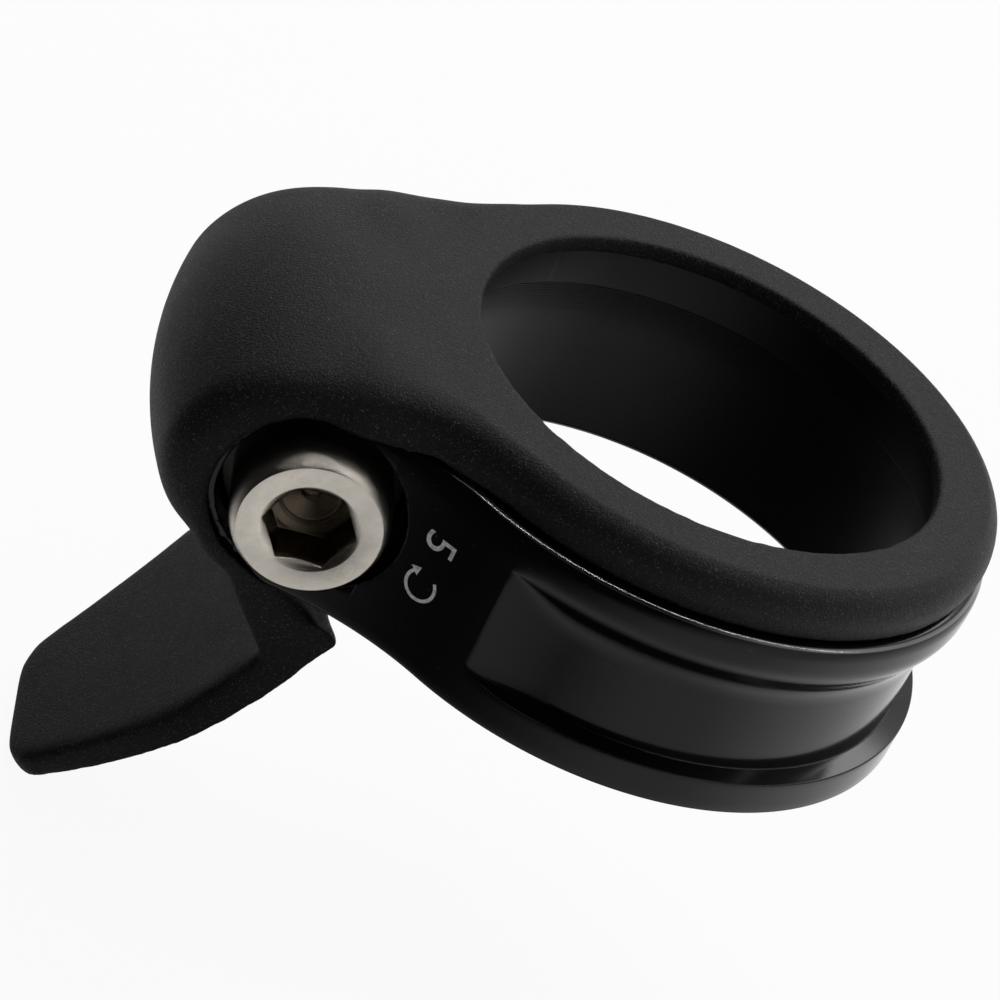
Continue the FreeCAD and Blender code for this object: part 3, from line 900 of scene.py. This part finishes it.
def lay_floor(settings):
    """Pale floor that takes the shadow; near the part, gloss rays see a dark sheet as a painted shadow, and
    far from it they see the room through it.
    """
    mesh = bpy.data.meshes.new("floor")
    work = bmesh.new()
    bmesh.ops.create_grid(work, x_segments=8, y_segments=8, size=3.0)
    work.to_mesh(mesh)
    work.free()
    floor = bpy.data.objects.new("floor", mesh)
    floor.location.z = CAD_BOX[0][2] - 0.4 * MM
    bpy.context.scene.collection.objects.link(floor)
    material, shop = new_finish("pale_floor")
    place = shop.place()
    tone = shop.noise(place, 0.02, 2.0)
    colour = shop.tint(tone, rgba(settings.floor_colour), rgba(settings.floor_colour, 0.98))
    seen = shop.node("ShaderNodeLightPath", out="Is Camera Ray")
    mirrored = shop.node("ShaderNodeLightPath", out="Is Glossy Ray")
    pale = shop.node("ShaderNodeBsdfPrincipled", {},
                     {"Base Color": colour, "Roughness": 1.0, "Specular IOR Level": 0.0})
    # Painted shadow: near the part, gloss rays see this dark sheet in place of the part's shadow on the floor.
    painted_shadow_sheet = shop.node("ShaderNodeBsdfDiffuse", {}, {"Color": (0.1, 0.1, 0.1, 1.0)})
    glow = shop.node("ShaderNodeEmission", {}, {"Color": WHITE, "Strength": 1.0})
    lit = shop.blend(seen * 0.93, shop.blend(mirrored, pale, painted_shadow_sheet), glow)
    x, y, z = shop.parts(place)
    away = ((x - 2.0) * (x - 2.0) + (y - 4.0) * (y - 4.0)) ** 0.5
    clear = shop.node("ShaderNodeBsdfTransparent")
    parted = shop.blend(mirrored * away.ramp(24.0, 44.0), lit, clear)
    shop.node("ShaderNodeOutputMaterial", {}, {"Surface": parted})
    mesh.materials.append(material)


def light_world(scene):
    """White sweep low at the right that fades to a dark room at the left; white all round to the camera."""
    world = bpy.data.worlds.new("studio")
    scene.world = world
    shop = NodeShop(world)
    way = shop.node("ShaderNodeTexCoord", out="Generated")
    facing = shop.node("ShaderNodeVectorMath", {"operation": "DOT_PRODUCT"},
                       {0: way, 1: (0.8, 0.3, -0.52)}, "Value")
    seen = shop.node("ShaderNodeLightPath", out="Is Camera Ray")
    levels = (0.012, 0.66, 1.08, 1.0)
    dark, front, side, white = [shop.node("ShaderNodeBackground", {}, {"Color": WHITE, "Strength": level})
                                for level in levels]
    sweep = shop.blend(facing.ramp(0.45, 0.95), shop.blend(facing.ramp(-0.5, 0.25), dark, front), side)
    back = shop.blend(seen, sweep, white)
    shop.node("ShaderNodeOutputWorld", {}, {"Surface": back})


def add_softbox(name, place, target, width, height, power):
    """Flat lamp of a given size that faces a target."""
    lamp = bpy.data.lights.new(name, "AREA")
    lamp.shape = "RECTANGLE"
    lamp.size = width
    lamp.size_y = height
    lamp.energy = power
    box = bpy.data.objects.new(name, lamp)
    box.location = place
    box.rotation_euler = (Vector(target) - Vector(place)).to_track_quat("-Z", "Y").to_euler()
    bpy.context.scene.collection.objects.link(box)


class CLAMP_PT_panel(bpy.types.Panel):
    """Lists the clamp's pieces and their settings"""
    bl_idname = "CLAMP_PT_panel"
    bl_label = "Seatpost clamp"
    bl_space_type = "VIEW_3D"
    bl_region_type = "UI"
    bl_category = "Clamp"

    def draw(self, context):
        for operator, group in STEPS:
            box = self.layout.box()
            box.operator(operator)
            settings = getattr(context.scene, group, None)
            if settings:
                for name in settings.__annotations__:
                    box.prop(settings, name)


STEPS = (("clamp.stage", "clamp_stage"), ("clamp.collar", "clamp_collar"), ("clamp.cover", "clamp_cover"),
         ("clamp.screw", "clamp_screw"), ("clamp.washer", ""), ("clamp.mark", "clamp_mark"))
GROUPS = {"clamp_collar": CollarSettings, "clamp_cover": CoverSettings, "clamp_screw": ScrewSettings,
          "clamp_mark": MarkSettings, "clamp_stage": StageSettings}
CLASSES = (CollarSettings, CoverSettings, ScrewSettings, MarkSettings, StageSettings, CLAMP_OT_collar,
           CLAMP_OT_cover, CLAMP_OT_screw, CLAMP_OT_washer, CLAMP_OT_mark, CLAMP_OT_stage, CLAMP_PT_panel)


def register():
    for cls in CLASSES:
        bpy.utils.register_class(cls)
    for name, group in GROUPS.items():
        setattr(bpy.types.Scene, name, PointerProperty(type=group))


def unregister():
    for name in GROUPS:
        delattr(bpy.types.Scene, name)
    for cls in reversed(CLASSES):
        bpy.utils.unregister_class(cls)


def main():
    register()
    bpy.ops.clamp.stage()
    bpy.ops.clamp.collar()
    bpy.ops.clamp.cover()
    bpy.ops.clamp.screw()
    bpy.ops.clamp.washer()
    bpy.ops.clamp.mark()


if __name__ == "__main__":
    main()
